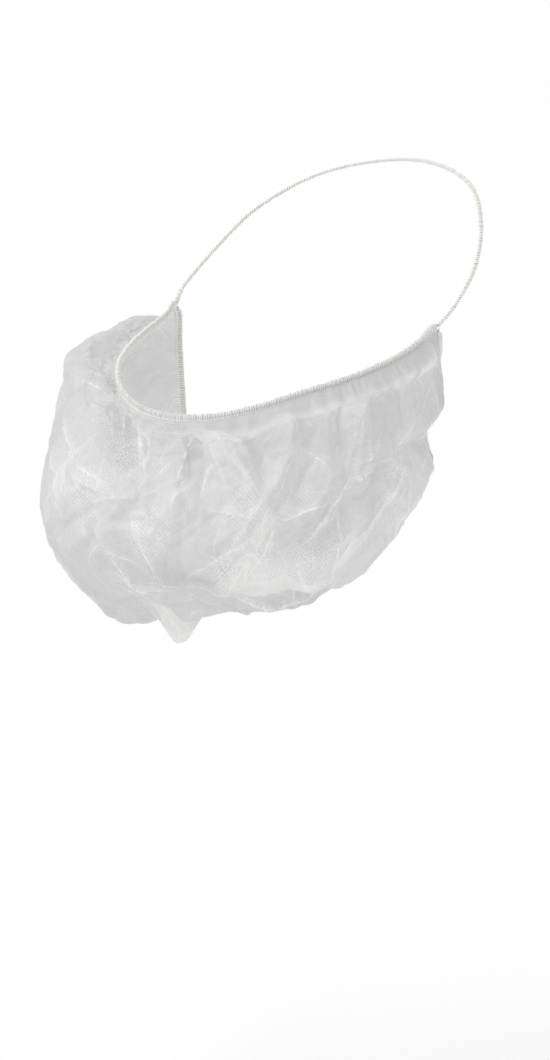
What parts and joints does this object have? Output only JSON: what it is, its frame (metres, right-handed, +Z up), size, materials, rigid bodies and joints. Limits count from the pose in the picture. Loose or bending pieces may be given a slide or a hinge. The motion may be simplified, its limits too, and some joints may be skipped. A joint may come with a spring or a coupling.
{
  "type": "disposable beard net",
  "caption": "Thin nonwoven pouch net for beard and chin, gathered on elastic hems at the face and the throat, with a bare elastic loop round the back of the head.",
  "frame": {"origin": "the seat on the wearer's head: on the midline, in the middle of the ring that the face hem and the loop make, level with the side tips where they meet", "axes": "-Y the way the wearer looks, +X to the wearer's left, +Z up, as worn"},
  "size_m": [0.1839, 0.2319, 0.1897],
  "materials": {
    "nonwoven_cloth": "matte, thin white spunbond polypropylene",
    "overlocked_hem": "matte, cloth rolled over elastic and overlocked",
    "covered_elastic": "matte, elastic covered in overlock thread"
  },
  "bodies": {
    "root": {"net_pouch": "nonwoven_cloth", "face_hem": "overlocked_hem", "throat_hem": "overlocked_hem", "head_loop": "covered_elastic"}
  },
  "joints": []
}
